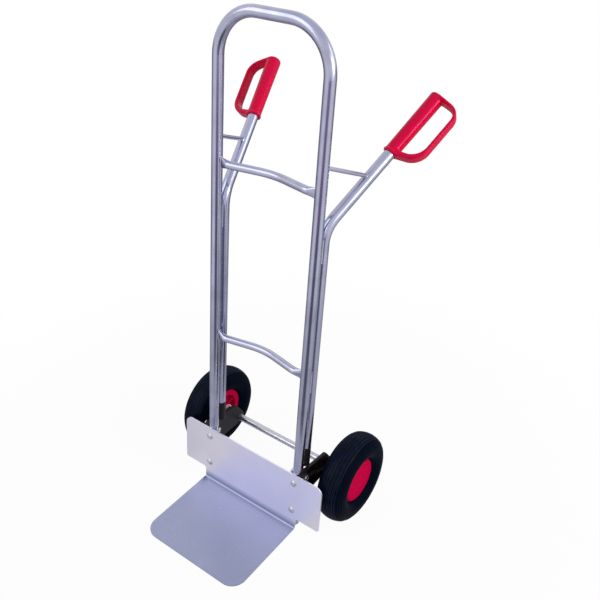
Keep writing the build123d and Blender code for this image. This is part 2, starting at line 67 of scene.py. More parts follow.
FRAME_BODY = "frame"
ORIGIN = (0, 0, 0)
UP = Vector((0, 0, 1))
WHITE = (1.0, 1.0, 1.0, 1.0)
HEX_HALF_ANGLE = radians(30)


class Side(Enum):
    """The two sides of the truck, as seen from the load."""

    LEFT = -1
    RIGHT = 1

    @property
    def word(self) -> str:
        """The side's name, as it ends the names of CAD nodes."""
        return self.name.lower()

    @property
    def wheel(self) -> str:
        """The body of the wheel on this side."""
        return f"{self.word}_wheel"

    @property
    def flip(self) -> Vector:
        """What a place on the right is multiplied by to give the same place on this side."""
        return Vector((self.value, 1, 1))


class Grain(Enum):
    """The way that drawing or rolling lines run over a metal piece."""

    UPRIGHT = (0.0, 0.087, 0.996)
    ACROSS = (1.0, 0.0, 0.0)
    HANDLE_RIGHT = (0.2215, 0.776, 0.591)
    HANDLE_LEFT = (-0.2215, 0.776, 0.591)


@dataclass(frozen=True)
class Pattern:
    """A cloudy pattern: the width of its blotches in metres, its finer layers, its stretch along a grain."""

    size: float
    detail: float = 3.0
    stretch: float = 1.0


@dataclass(frozen=True)
class Value:
    """A number on a socket. Used in an expression, it adds Math nodes to its graph."""

    graph: "Graph"
    socket: Socket

    def __add__(self, other: "Value | float") -> "Value":
        """Sum."""
        return self.graph.math("ADD", self, other)

    __radd__ = __add__

    def __sub__(self, other: "Value | float") -> "Value":
        """Difference."""
        return self.graph.math("SUBTRACT", self, other)

    def __rsub__(self, other: float) -> "Value":
        """Difference from a number."""
        return self.graph.math("SUBTRACT", other, self)

    def __mul__(self, other: "Value | float") -> "Value":
        """Product."""
        return self.graph.math("MULTIPLY", self, other)

    __rmul__ = __mul__

    def __pow__(self, power: float) -> "Value":
        """Power."""
        return self.graph.math("POWER", self, power)

    @property
    def swing(self) -> "Value":
        """How far a pattern lies from its average, which is a half."""
        return self - 0.5

    @property
    def unsigned(self) -> "Value":
        """The number without its sign."""
        return self.graph.math("ABSOLUTE", self, 0.0)

    def between(self, low: float, high: float) -> "Value":
        """A mask that climbs smoothly from 0 at low to 1 at high."""
        inputs = {"Value": self, "From Min": low, "From Max": high}
        return self.graph.value("ShaderNodeMapRange", {"interpolation_type": "SMOOTHSTEP"}, inputs)


class Graph:
    """The node tree of one finish, or of the sky."""

    def __init__(self, owner: Material | bpy.types.World) -> None:
        """Starts a tree.

        Args:
            owner: The new material or world that it belongs to.
        """
        owner.use_nodes = True
        self.owner = owner
        self.tree = owner.node_tree

    @classmethod
    def finish_named(cls, name: str) -> "Graph":
        """The tree of a new material."""
        return cls(bpy.data.materials.new(name))

    def node(self, kind: str, settings: dict[str, Any], inputs: dict[str | int, Any]) -> bpy.types.Node:
        """Adds a node.

        Args:
            kind: The node's type.
            settings: Its own properties, set first.
            inputs: The number, colour or link of each socket, by its name or place.

        Returns:
            The new node.
        """
        made = self.tree.nodes.new(kind)
        for key, setting in settings.items():
            setattr(made, key, setting)
        for key, given in inputs.items():
            self.join(made.inputs[key], given)
        return made

    def join(self, socket: Socket, given: Any) -> None:
        """Gives a socket its link or its constant.

        Args:
            socket: The socket.
            given: A value or another socket to link, or a constant.
        """
        if isinstance(given, Value):
            given = given.socket
        if isinstance(given, Socket):
            self.tree.links.new(given, socket)
        else:
            socket.default_value = given

    def value(self, kind: str, settings: dict[str, Any], inputs: dict[str | int, Any]) -> Value:
        """Adds a node and wraps its first output as a number."""
        return Value(self, self.node(kind, settings, inputs).outputs[0])

    def math(self, operation: str, first: Value | float, second: Value | float) -> Value:
        """Adds a Math node of two numbers."""
        return self.value("ShaderNodeMath", {"operation": operation}, {0: first, 1: second})

    def place(self, grain: Grain | None = None, stretch: float = 1.0) -> Socket:
        """Object coordinates, drawn out along a grain.

        Args:
            grain: The way of the lines, or None for even patterns.
            stretch: How many times longer a pattern is along the grain.

        Returns:
            The coordinates' socket.
        """
        where = self.node("ShaderNodeTexCoord", {}, {}).outputs["Object"]
        if grain is None:
            return where
        turn = Vector(grain.value).rotation_difference(UP).to_euler()
        turned_place = self.node("ShaderNodeMapping", {}, {"Vector": where, "Rotation": turn})
        inputs = {"Vector": turned_place.outputs[0], "Scale": (1, 1, 1 / stretch)}
        return self.node("ShaderNodeMapping", {}, inputs).outputs[0]

    def noise(self, pattern: Pattern, grain: Grain | None = None) -> Value:
        """A cloudy pattern.

        Args:
            pattern: Its sizes.
            grain: The way that it is drawn out, if any.

        Returns:
            The pattern, a half on average.
        """
        where = self.place(grain, pattern.stretch)
        inputs = {"Vector": where, "Scale": 1 / pattern.size, "Detail": pattern.detail}
        return self.value("ShaderNodeTexNoise", {}, inputs)

    def cells(self, size: float) -> Value:
        """A pebbled pattern of cells of that width: 0 in their middles."""
        return self.value("ShaderNodeTexVoronoi", {}, {"Vector": self.place(), "Scale": 1 / size})

    def axes(self) -> tuple[Value, Value, Value]:
        """The three Object coordinates as numbers."""
        parts = self.node("ShaderNodeSeparateXYZ", {}, {"Vector": self.place()}).outputs
        return Value(self, parts[0]), Value(self, parts[1]), Value(self, parts[2])

    def mixed(self, first: Any, second: Any, mask: Value) -> Socket:
        """A colour between two, by a mask.

        Args:
            first: The colour or link where the mask is 0.
            second: The colour or link where the mask is 1.
            mask: The mask.

        Returns:
            The mixed colour's socket.
        """
        inputs = {0: mask}
        for place, given in ((6, first), (7, second)):
            inputs[place] = (*given, 1.0) if isinstance(given, tuple) else given
        return self.node("ShaderNodeMix", {"data_type": "RGBA"}, inputs).outputs[2]

    def finish(self, bump: Value, depth: float, **sockets: Any) -> Material:
        """Sets the shader's sockets and its bump.

        Args:
            bump: The height pattern.
            depth: How deep a full step of it is, in metres.
            sockets: What goes to each socket, named with underscores for spaces.

        Returns:
            The finished material.
        """
        shader = self.tree.nodes["Principled BSDF"]
        for key, given in sockets.items():
            self.join(shader.inputs[key.replace("_", " ")], given)
        inputs = {"Strength": 1.0, "Distance": depth, "Height": bump}
        self.join(shader.inputs["Normal"], self.node("ShaderNodeBump", {}, inputs).outputs["Normal"])
        return self.owner

    def blend(self, share: Value, first: bpy.types.Node, second: bpy.types.Node) -> Material:
        """Makes the surface a mix of two shaders, in place of the Principled one.

        Args:
            share: The second shader's share.
            first: The first shader's node.
            second: The second shader's node.

        Returns:
            The finished material.
        """
        mix = self.node("ShaderNodeMixShader", {}, {0: share, 1: first.outputs[0], 2: second.outputs[0]})
        self.join(self.tree.nodes["Material Output"].inputs["Surface"], mix.outputs[0])
        self.tree.nodes.remove(self.tree.nodes["Principled BSDF"])
        return self.owner


@dataclass(frozen=True)
class DrawnMetal:
    """Bare aluminium tube or rod, with fine drawing lines, handling marks and dull clouds."""

    name: str
    grain: Grain
    colour: Colour = (0.43, 0.44, 0.575)
    dull: Colour = (0.36, 0.365, 0.485)
    roughness: float = 0.17
    drawing: Pattern = Pattern(0.0007, 2.0, 220.0)
    banding: Pattern = Pattern(0.006, 2.0, 60.0)
    clouding: Pattern = Pattern(0.05, 4.0)
    handling: Pattern = Pattern(0.011)
    dulled: Span = (0.4, 0.75)
    marked: Span = (0.62, 0.74)
    relief: float = 0.000006

    def build(self) -> Material:
        """Makes the material.

        Returns:
            The finished material.
        """
        graph = Graph.finish_named(self.name)
        lines = graph.noise(self.drawing, self.grain)
        bands = graph.noise(self.banding, self.grain)
        clouds = graph.noise(self.clouding)
        marks = graph.noise(self.handling).between(*self.marked)
        colour = graph.mixed(self.colour, self.dull, clouds.between(*self.dulled))
        rough = self.roughness + 0.08 * lines.swing + 0.08 * bands.swing + 0.05 * clouds + 0.03 * marks
        bump = 0.7 * lines + 0.4 * bands - 0.3 * marks
        return graph.finish(bump, self.relief, Base_Color=colour, Roughness=rough, Metallic=1.0)


@dataclass(frozen=True)
class RolledSheet:
    """Satin aluminium sheet: a painted highlight brightens the flange and painted shade darkens the toe,
    which is also scuffed where loads slide on.
    """

    name: str = "satin_rolled_sheet"
    # bright is painted light on the flange and dull is painted shade on the toe: one sheet, coloured lit and
    # shaded.
    bright: Colour = (0.90, 0.87, 0.97)
    dull: Colour = (0.31, 0.335, 0.49)
    worn: Colour = (0.52, 0.52, 0.66)
    roughness: float = 0.42
    toe_top: Span = (0.006, 0.035)
    rolling: Pattern = Pattern(0.0012, 2.0, 160.0)
    clouding: Pattern = Pattern(0.09, 4.0)
    sliding: Pattern = Pattern(0.0035, stretch=30.0)
    specking: Pattern = Pattern(0.0022)
    slid: Span = (0.6, 0.72)
    specked: Span = (0.68, 0.74)
    relief: float = 0.00003

    def build(self) -> Material:
        """Makes the material.

        Returns:
            The finished material.
        """
        graph = Graph.finish_named(self.name)
        _, _, up = graph.axes()
        lines = graph.noise(self.rolling, Grain.ACROSS)
        clouds = graph.noise(self.clouding)
        slide = graph.noise(self.sliding, Grain.HANDLE_RIGHT).between(*self.slid)
        specks = graph.noise(self.specking).between(*self.specked)
        # The toe's colour is painted shade with real scuffs and clouds mixed in; the flange's colour is
        # painted light.
        toe = graph.mixed(self.dull, self.worn, 0.35 * slide + 0.25 * clouds)
        lit_flange = graph.mixed(self.bright, self.worn, 0.3 * clouds + 0.15 * slide)
        # Painted light and shade: the colour climbs from the shaded toe to the lit flange with height.
        colour = graph.mixed(toe, lit_flange, up.between(*self.toe_top))
        rough = self.roughness + 0.14 * lines.swing + 0.12 * clouds.swing - 0.05 * slide + 0.1 * specks
        bump = 0.6 * lines - 0.5 * slide - 0.6 * specks
        return graph.finish(bump, self.relief, Base_Color=colour, Roughness=rough, Metallic=1.0)


@dataclass(frozen=True)
class PlatedSteel:
    """Zinc-plated or cast bright metal, lightly mottled."""

    name: str
    colour: Colour = (0.56, 0.57, 0.62)
    tarnish: Colour = (0.40, 0.40, 0.43)
    roughness: float = 0.28
    mottling: Pattern = Pattern(0.006, 4.0)
    grit: Pattern = Pattern(0.0006, 2.0)
    tarnished: Span = (0.45, 0.8)
    relief: float = 0.000003

    def build(self) -> Material:
        """Makes the material.

        Returns:
            The finished material.
        """
        graph = Graph.finish_named(self.name)
        clouds = graph.noise(self.mottling)
        grit = graph.noise(self.grit)
        colour = graph.mixed(self.colour, self.tarnish, clouds.between(*self.tarnished))
        rough = self.roughness + 0.25 * clouds.swing + 0.1 * grit.swing
        bump = grit + 0.5 * clouds
        return graph.finish(bump, self.relief, Base_Color=colour, Roughness=rough, Metallic=1.0)


ZINC_PLATE = PlatedSteel("zinc_plate")
ZINC_FASTENERS = PlatedSteel(
    "zinc_plated_fasteners", (0.60, 0.61, 0.66), (0.42, 0.42, 0.46), 0.24, Pattern(0.004, 4.0)
)
DULL_WELD = PlatedSteel("dull_weld", (0.44, 0.45, 0.56), (0.34, 0.34, 0.43), 0.36, Pattern(0.003, 4.0))
NICKELLED_BRASS = PlatedSteel("nickelled_brass", (0.62, 0.56, 0.42), (0.42, 0.36, 0.24), 0.26)


@dataclass(frozen=True)
class MouldedPlastic:
    """Moulded plastic with a fine pebbled skin, scuffs and a little dust."""

    name: str
    colour: Colour
    shade: Colour
    scuff: Colour
    roughness: float
    specular: float = 0.3
    gloss_tint: Colour = (1.0, 1.0, 1.0)
    pebble: float = 0.0011
    clouding: Pattern = Pattern(0.03, 4.0)
    scuffing: Pattern = Pattern(0.005, 4.0)
    shaded: Span = (0.35, 0.8)
    scuffed: Span = (0.66, 0.76)
    relief: float = 0.00004

    def build(self) -> Material:
        """Makes the material.

        Returns:
            The finished material.
        """
        graph = Graph.finish_named(self.name)
        pebbles = graph.cells(self.pebble)
        clouds = graph.noise(self.clouding)
        scuffs = graph.noise(self.scuffing).between(*self.scuffed)
        tone = graph.mixed(self.colour, self.shade, clouds.between(*self.shaded))
        colour = graph.mixed(tone, self.scuff, 0.25 * scuffs)
        rough = self.roughness + 0.08 * clouds.swing + 0.05 * pebbles + 0.1 * scuffs + self.rubbed(graph)
        bump = pebbles - 0.5 * scuffs
        gloss = {"Specular_IOR_Level": self.specular, "Specular_Tint": (*self.gloss_tint, 1.0)}
        return graph.finish(bump, self.relief, Base_Color=colour, Roughness=rough, **gloss)

    def rubbed(self, graph: Graph) -> Value | float:
        """How much rougher the plastic is where it is rubbed."""
        return 0.0


@dataclass(frozen=True)
class GripPlastic(MouldedPlastic):
    """Glossy plastic of both grips, rubbed dull on their far ends."""

    way: Vector = field(default_factory=Vector)
    end: float = 0.0
    rub_depths: Span = (0.012, 0.004)
    rub: float = 0.44

    def rubbed(self, graph: Graph) -> Value | float:
        """How much rougher the plastic is near a grip's end, counted along its handle.

        Args:
            graph: The finish's node tree.

        Returns:
            What is added to the roughness.
        """
        across, back, up = graph.axes()
        along = self.way.x * across.unsigned + self.way.y * back + self.way.z * up
        return self.rub * along.between(*(self.end - depth for depth in self.rub_depths))


WHEEL_RED = MouldedPlastic(
    "red_wheel_plastic",
    (0.565, 0.0002, 0.0525),
    (0.52, 0.0002, 0.049),
    (0.565, 0.004, 0.060),
    0.45,
    specular=0.004,
    relief=0.00001,
)
GRIP_RED = GripPlastic(
    "red_grip_plastic",
    (0.75, 0.0004, 0.042),
    (0.69, 0.0004, 0.050),
    (0.73, 0.006, 0.058),
    0.22,
    specular=0.2,
    gloss_tint=(1.0, 0.35, 0.9),
    relief=0.000002,
)
BUTYL = MouldedPlastic("black_butyl", (0.012, 0.012, 0.013), (0.02, 0.02, 0.021), (0.05, 0.05, 0.05), 0.6)
NYLON = MouldedPlastic("pale_nylon", (0.62, 0.60, 0.55), (0.5, 0.48, 0.44), (0.7, 0.69, 0.65), 0.45)
BLACK_MOULDING = MouldedPlastic(
    "black_moulding", (0.004, 0.004, 0.006), (0.008, 0.008, 0.010), (0.04, 0.04, 0.045), 0.42, specular=0.2
)


@dataclass(frozen=True)
class TyreRubber:
    """Black rubber: lighter on the tread's ribs and the sidewall's rings, partly from wear and partly as a
    painted sheen, so the grooves stay darker.
    """

    axle: Span
    wheel_x: float
    crown_radius: float
    crown_bow: float
    rings: tuple[float, ...]
    name: str = "tyre_rubber"
    colour: Colour = (0.0014, 0.0034, 0.0095)
    # worn is partly wear and partly a painted sheen, laid on the raised ribs and rings.
    worn: Colour = (0.0060, 0.0110, 0.0330)
    dust: Colour = (0.012, 0.013, 0.017)
    roughness: float = 0.36
    specular: float = 0.008
    rib_depth: Span = (0.0003, 0.0012)
    rib_polish: float = 0.14
    polish_roughness: float = 0.3
    ring_edge: Span = (0.0004, 0.0013)
    ring_share: float = 0.6
    clouding: Pattern = Pattern(0.02, 5.0)
    grit: Pattern = Pattern(0.0008)
    blooming: Pattern = Pattern(0.006, 4.0)
    # The span of the clouds where the ribs and rings take the worn colour, which is partly wear and partly
    # painted sheen.
    wear_and_sheen_span: Span = (0.2, 0.7)
    bloomed: Span = (0.62, 0.8)
    relief: float = 0.00003

    def build(self) -> Material:
        """Makes the material.

        Returns:
            The finished material.
        """
        graph = Graph.finish_named(self.name)
        across, back, up = graph.axes()
        aside = across.unsigned - self.wheel_x
        radius = ((back - self.axle[0]) ** 2.0 + (up - self.axle[1]) ** 2.0) ** 0.5
        depth = self.crown_radius - radius - aside**2.0 * (1 / (2 * self.crown_bow))
        ribs = 1 - depth.between(*self.rib_depth)
        raised = ribs
        for ring in self.rings:
            on_ring = 1 - (radius - ring).unsigned.between(*self.ring_edge)
            raised = graph.math("MAXIMUM", raised, self.ring_share * on_ring)
        clouds = graph.noise(self.clouding)
        grit = graph.noise(self.grit)
        blooms = graph.noise(self.blooming).between(*self.bloomed)
        # Painted sheen and wear: the raised ribs and rings turn lighter in cloudy patches.
        tone = graph.mixed(self.colour, self.worn, raised * clouds.between(*self.wear_and_sheen_span))
        colour = graph.mixed(tone, self.dust, 0.3 * blooms)
        rough = self.roughness + 0.1 * ribs + 0.2 * clouds.swing + 0.1 * grit
        sockets = {"Base_Color": colour, "Roughness": rough, "Specular_IOR_Level": self.specular}
        polish = {"Coat_Weight": self.rib_polish * ribs, "Coat_Roughness": self.polish_roughness}
        return graph.finish(grit + 0.4 * clouds, self.relief, **sockets, **polish)


class Bench:
    """The modelling operators that the pieces are made with, under plain names."""

    MERGE_DISTANCE = 1e-6
    BEAD_STEPS = 2

    @staticmethod
    def clear() -> None:
        """Leaves edit mode and deselects everything."""
        if bpy.context.object is not None and bpy.context.object.mode != "OBJECT":
            Bench.leave()
        bpy.ops.object.select_all(action="DESELECT")

    @staticmethod
    def take(piece: Piece) -> None:
        """Makes a piece the only selected and the active one.

        Args:
            piece: The piece.
        """
        Bench.clear()
        piece.select_set(True)
        bpy.context.view_layer.objects.active = piece

    @staticmethod
    def edit_all() -> None:
        """Goes into edit mode with the whole mesh selected."""
        bpy.ops.object.mode_set(mode="EDIT")
        bpy.ops.mesh.select_all(action="SELECT")

    @staticmethod
    def leave() -> None:
        """Goes back to object mode."""
        bpy.ops.object.mode_set(mode="OBJECT")

    @staticmethod
    def choose(piece: Piece, test: Callable[[bpy.types.MeshVertex], bool]) -> None:
        """Selects the corners that pass a test, and stays in edit mode.

        Args:
            piece: The piece.
            test: Says whether a corner is wanted.
        """
        bpy.ops.object.mode_set(mode="EDIT")
        bpy.ops.mesh.select_mode(type="VERT")
        bpy.ops.mesh.select_all(action="DESELECT")
        Bench.leave()
        for corner in piece.data.vertices:
            corner.select = test(corner)
        bpy.ops.object.mode_set(mode="EDIT")

    @staticmethod
    def chain(name: str, points: Sequence[Vector], closed: bool) -> Piece:
        """A line of edges, extruded corner by corner.

        Args:
            name: The piece's name.
            points: The corners.
            closed: Whether the last corner joins the first.

        Returns:
            The piece, in edit mode.
        """
        Bench.clear()
        bpy.ops.mesh.primitive_plane_add(location=ORIGIN)
        piece = bpy.context.object
        piece.name = name
        bpy.ops.object.mode_set(mode="EDIT")
        bpy.ops.mesh.merge(type="CENTER")
        bpy.ops.transform.translate(value=points[0])
        for before, after in zip(points, points[1:]):
            bpy.ops.mesh.extrude_region_move(TRANSFORM_OT_translate={"value": after - before})
        if closed:
            ends = (0, len(points) - 1)
            Bench.choose(piece, lambda corner: corner.index in ends)
            bpy.ops.mesh.edge_face_add()
        return piece

    @staticmethod
    def turned(name: str, outline: Outline, steps: int, closed: bool = True) -> Piece:
        """A round piece spun about the X axis.

        Args:
            name: The piece's name.
            outline: Its section, as (x, radius).
            steps: How many sides it has.
            closed: Whether the outline is a ring's own section, or runs from the axis to the axis.

        Returns:
            The piece, about the origin.
        """
        piece = Bench.chain(name, [Vector((x, 0, radius)) for x, radius in outline], closed)
        Bench.edit_all()
        bpy.ops.mesh.spin(steps=steps, angle=tau, center=ORIGIN, axis=(1, 0, 0))
        Bench.edit_all()
        bpy.ops.mesh.remove_doubles(threshold=Bench.MERGE_DISTANCE)
        bpy.ops.mesh.normals_make_consistent(inside=False)
        Bench.leave()
        return piece

    @staticmethod
    def hexagon(name: str, across: float, height: float) -> Piece:
        """A hexagon bar along X, from the origin.

        Args:
            name: The piece's name.
            across: Its width over the flats.
            height: Its length.

        Returns:
            The bar.
        """
        Bench.clear()
        corner = across / 2 / cos(HEX_HALF_ANGLE)
        bpy.ops.mesh.primitive_cylinder_add(vertices=6, radius=corner, depth=height)
        piece = bpy.context.object
        piece.name = name
        return Bench.settle(piece, Matrix.Translation((height / 2, 0, 0)) @ Matrix.Rotation(tau / 4, 4, "Y"))

    @staticmethod
    def cut(piece: Piece, operation: str, tool: Piece) -> Piece:
        """Joins a tool to a piece, cuts it off or keeps what they share, and clears the tool away.

        Args:
            piece: The piece.
            operation: UNION, DIFFERENCE or INTERSECT.
            tool: The tool.

        Returns:
            The piece.
        """
        Bench.modify(piece, "BOOLEAN", operation=operation, object=tool, solver="EXACT")
        bpy.data.objects.remove(tool)
        return piece

    @staticmethod
    def from_node(name: str, node: Piece) -> Piece:
        """A new piece with a merged copy of a CAD node's mesh.

        Args:
            name: The piece's name.
            node: The CAD node.

        Returns:
            The piece.
        """
        piece = bpy.data.objects.new(name, node.data.copy())
        bpy.context.collection.objects.link(piece)
        Bench.take(piece)
        Bench.edit_all()
        bpy.ops.mesh.remove_doubles(threshold=Bench.MERGE_DISTANCE)
        Bench.leave()
        return piece

    @staticmethod
    def bead(name: str, points: Sequence[Vector], closed: bool, radius: float, ripple: float) -> Piece:
        """A rippled weld bead along a line.

        Args:
            name: The piece's name.
            points: The line's corners, two to each ripple.
            closed: Whether the line is a ring.
            radius: The bead's radius.
            ripple: How much thinner the bead is between ripples, as a share.

        Returns:
            The bead.
        """
        Bench.chain(name, points, closed)
        Bench.leave()
        bpy.ops.object.convert(target="CURVE")
        line = bpy.context.object.data
        line.dimensions = "3D"
        line.bevel_depth = radius
        line.bevel_resolution = Bench.BEAD_STEPS
        line.use_fill_caps = True
        for index, corner in enumerate(line.splines[0].points):
            corner.radius = 1 - ripple * (index % 2)
        bpy.ops.object.convert(target="MESH")
        return Bench.smooth(bpy.context.object)

    @staticmethod
    def modify(piece: Piece, kind: str, **settings: Any) -> Piece:
        """Adds a modifier and applies it.

        Args:
            piece: The piece.
            kind: The modifier's type.
            settings: Its properties.

        Returns:
            The piece.
        """
        Bench.take(piece)
        modifier = piece.modifiers.new(kind.lower(), kind)
        for key, setting in settings.items():
            setattr(modifier, key, setting)
        bpy.ops.object.modifier_apply(modifier=modifier.name)
        return piece

    @staticmethod
    def smooth(piece: Piece, crease: float = 40.0) -> Piece:
        """Shades a piece smooth, apart from its sharp edges.

        Args:
            piece: The piece.
            crease: The angle from which an edge stays sharp, in degrees.

        Returns:
            The piece.
        """
        Bench.take(piece)
        bpy.ops.object.shade_smooth_by_angle(angle=radians(crease))
        return piece

    @staticmethod
    def settle(piece: Piece, place: Matrix) -> Piece:
        """Puts a piece in its place and moves the place into its mesh.

        Args:
            piece: The piece.
            place: Its place.

        Returns:
            The piece.
        """
        Bench.take(piece)
        piece.matrix_world = place @ piece.matrix_world
        bpy.ops.object.transform_apply(location=True, rotation=True, scale=True)
        return piece

    @staticmethod
    def copy(piece: Piece, place: Matrix) -> Piece:
        """Copies a piece with its own mesh.

        Args:
            piece: The piece.
            place: The place that the copy is settled in.

        Returns:
            The copy.
        """
        Bench.take(piece)
        bpy.ops.object.duplicate(linked=False)
        return Bench.settle(bpy.context.object, place)

    @staticmethod
    def joined(name: str, pieces: Sequence[Piece]) -> Piece:
        """Joins pieces of one kind.

        Args:
            name: The joined piece's name.
            pieces: The pieces.

        Returns:
            The joined piece.
        """
        Bench.take(pieces[0])
        for piece in pieces[1:]:
            piece.select_set(True)
        bpy.ops.object.join()
        pieces[0].name = name
        return pieces[0]


@dataclass(frozen=True)
class FrameAxes:
    """The leaned axes of the frame, x across, y back from the uprights and z up along them, and its tube."""

    axle: Vector
    lean: float = radians(5.0)
    axle_back: float = 0.126
    upright_x: float = 0.152
    tube_radius: float = 0.014

    @property
    def place(self) -> Matrix:
        """From the frame's own axes, with its foot at the origin, to the truck's."""
        axle_up = (self.axle.z + self.axle_back * sin(self.lean)) / cos(self.lean)
        foot = self.axle.y - self.axle_back * cos(self.lean) - axle_up * sin(self.lean)
        return Matrix.Translation((0, foot, 0)) @ Matrix.Rotation(-self.lean, 4, "X")


def sided(*names: str) -> list[str]:
    """The nodes of pieces that each side has."""
    return [f"{name}_{side.word}" for name in names for side in Side]


def dress(nodes: Nodes, names: Iterable[str], material: Material) -> None:
    """Gives CAD nodes a finish.

    Args:
        nodes: The CAD nodes by name.
        names: The nodes to dress.
        material: Their finish.
    """
    for name in names:
        node = nodes[name]
        if not node.material_slots:
            node.data.materials.append(material)
        for slot in node.material_slots:
            slot.material = material
        log.info("%s wears %s", name, material.name)


def add_piece(piece: Piece, body: str, material: Material, replaced: Sequence[str] = ()) -> None:
    """Makes a modelled piece part of the truck.

    Args:
        piece: The piece, in its place.
        body: The CAD body that it moves with.
        material: Its finish.
        replaced: The CAD nodes that it stands for.
    """
    piece.data.materials.clear()
    piece.data.materials.append(material)
    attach(piece, body)
    if replaced:
        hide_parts(*replaced)
    log.info("%s rides on %s, with %d faces", piece.name, body, len(piece.data.polygons))


@dataclass
class TubeFrame:
    """The loop, handle tubes, cross bars and braces, and the welds that join them."""

    nodes: Nodes
    axes: FrameAxes
    handle_height: float = 0.895
    handle_back: float = radians(47.7)
    handle_splay: float = radians(12.8)
    bar_heights: Span = (0.986, 0.502)
    bar_half_height: float = 0.014
    bar_half_depth: float = 0.0032
    bar_bead: float = 0.0022
    bar_ripples: int = 26
    brace_height: float = 1.049
    brace_reach: float = 0.162
    brace_radius: float = 0.005
    brace_bead: float = 0.00176
    brace_ripples: int = 12
    ring_ripple: float = 0.2
    stitch_heights: tuple[float, float, float] = (0.845, 0.478, 0.330)
    stitch_length: float = 0.060
    stitch_depth: float = 0.0068
    stitch_bead: float = 0.0034
    stitch_ripples: int = 20
    stitch_ripple: float = 0.14

    @property
    def handle_corner(self) -> Vector:
        """Where the right handle tube bends away from its upright."""
        return Vector((self.axes.upright_x, 2 * self.axes.tube_radius, self.handle_height))

    @property
    def handle_way(self) -> Vector:
        """The way that the right handle points."""
        level = cos(self.handle_splay)
        return Vector((sin(self.handle_splay), level * sin(self.handle_back), level * cos(self.handle_back)))

    def on_tube(self, point: Vector, way: Vector, axis_point: Vector, axis_way: Vector) -> Vector:
        """Slides a point along a line onto the skin of a frame tube.

        Args:
            point: The point.
            way: The line's direction, pointing out of the tube.
            axis_point: A point on the tube's axis.
            axis_way: The tube's direction.

        Returns:
            The point where the line leaves the tube.
        """
        flat_point = (point - axis_point) - (point - axis_point).dot(axis_way) * axis_way
        flat_way = way - way.dot(axis_way) * axis_way
        square = flat_way.length_squared
        half = flat_point.dot(flat_way)
        rest = flat_point.length_squared - self.axes.tube_radius**2
        return point + way * ((-half + sqrt(half * half - square * rest)) / square)

    def ring_points(
        self, centre: Vector, way: Vector, sizes: tuple[Vector, Vector], tube_way: Vector, ripples: int
    ) -> list[Vector]:
        """The line where a bar or rod meets a tube.

        Args:
            centre: Where the bar's axis crosses the tube's.
            way: The bar's direction, pointing out of the tube.
            sizes: The half axes of the bar's section.
            tube_way: The tube's direction.
            ripples: How many ripples the bead has.

        Returns:
            The ring's corners.
        """
        turns = [tau * index / (2 * ripples) for index in range(2 * ripples)]
        flat = [centre + sizes[0] * cos(turn) + sizes[1] * sin(turn) for turn in turns]
        return [self.on_tube(point, way, centre, tube_way) for point in flat]

    def bar_welds(self) -> Piece:
        """Rings of weld round the flattened ends of both cross bars.

        Returns:
            The rings, as one piece.
        """
        rings = []
        sizes = (Vector((0, 0, self.bar_half_height)), Vector((0, self.bar_half_depth, 0)))
        for side in Side:
            for height in self.bar_heights:
                foot = Vector((side.value * self.axes.upright_x, 0, height))
                way = Vector((-side.value, 0, 0))
                line = self.ring_points(foot, way, sizes, UP, self.bar_ripples)
                rings.append(Bench.bead("bar_weld", line, True, self.bar_bead, self.ring_ripple))
        return Bench.settle(Bench.joined("cross_bar_weld_rings", rings), self.axes.place)

    def brace_welds(self) -> Piece:
        """Rings of weld at both ends of both brace rods.

        Returns:
            The rings, as one piece.
        """
        rings = []
        for side in Side:
            root = Vector((self.axes.upright_x, 0, self.brace_height)) * side.flip
            handle_way = self.handle_way * side.flip
            tip = self.handle_corner * side.flip + handle_way * self.brace_reach
            along = (tip - root).normalized()
            across = along.orthogonal().normalized()
            sizes = (across * self.brace_radius, along.cross(across) * self.brace_radius)
            for end, way, tube_way in ((root, along, UP), (tip, -along, handle_way)):
                line = self.ring_points(end, way, sizes, tube_way, self.brace_ripples)
                rings.append(Bench.bead("brace_weld", line, True, self.brace_bead, self.ring_ripple))
        return Bench.settle(Bench.joined("brace_weld_rings", rings), self.axes.place)

    def stitch_welds(self, side: Side) -> Piece:
        """Stitch welds down both grooves between an upright and its handle tube.

        Args:
            side: The upright's side.

        Returns:
            The beads, as one piece.
        """
        count = 2 * self.stitch_ripples
        step = self.stitch_length / count
        first = -self.stitch_length / 2
        line = [Vector((0, 0, first + step * index)) for index in range(count + 1)]
        model = Bench.bead("stitch", line, False, self.stitch_bead, self.stitch_ripple)
        places = [
            (side.value * self.axes.upright_x + groove * self.stitch_depth, self.axes.tube_radius, height)
            for height in self.stitch_heights
            for groove in (-1, 1)
        ]
        beads = [Bench.copy(model, Matrix.Translation(place)) for place in places]
        bpy.data.objects.remove(model)
        return Bench.settle(Bench.joined(f"stitch_weld_beads_{side.word}", beads), self.axes.place)

    def build(self) -> None:
        """Dresses the tubes and adds their welds."""
        finishes = (
            ("drawn_tube", Grain.UPRIGHT, ("loop_tube",)),
            ("drawn_handle_tube_right", Grain.HANDLE_RIGHT, ("handle_tube_right", "brace_rod_right")),
            ("drawn_handle_tube_left", Grain.HANDLE_LEFT, ("handle_tube_left", "brace_rod_left")),
            ("drawn_bar", Grain.ACROSS, ("upper_cross_bar", "lower_cross_bar")),
        )
        for finish, grain, names in finishes:
            dress(self.nodes, names, DrawnMetal(finish, grain).build())
        weld = DULL_WELD.build()
        for side in Side:
            add_piece(self.stitch_welds(side), FRAME_BODY, weld, [f"stitch_welds_{side.word}"])
        add_piece(self.bar_welds(), FRAME_BODY, weld)
        add_piece(self.brace_welds(), FRAME_BODY, weld)


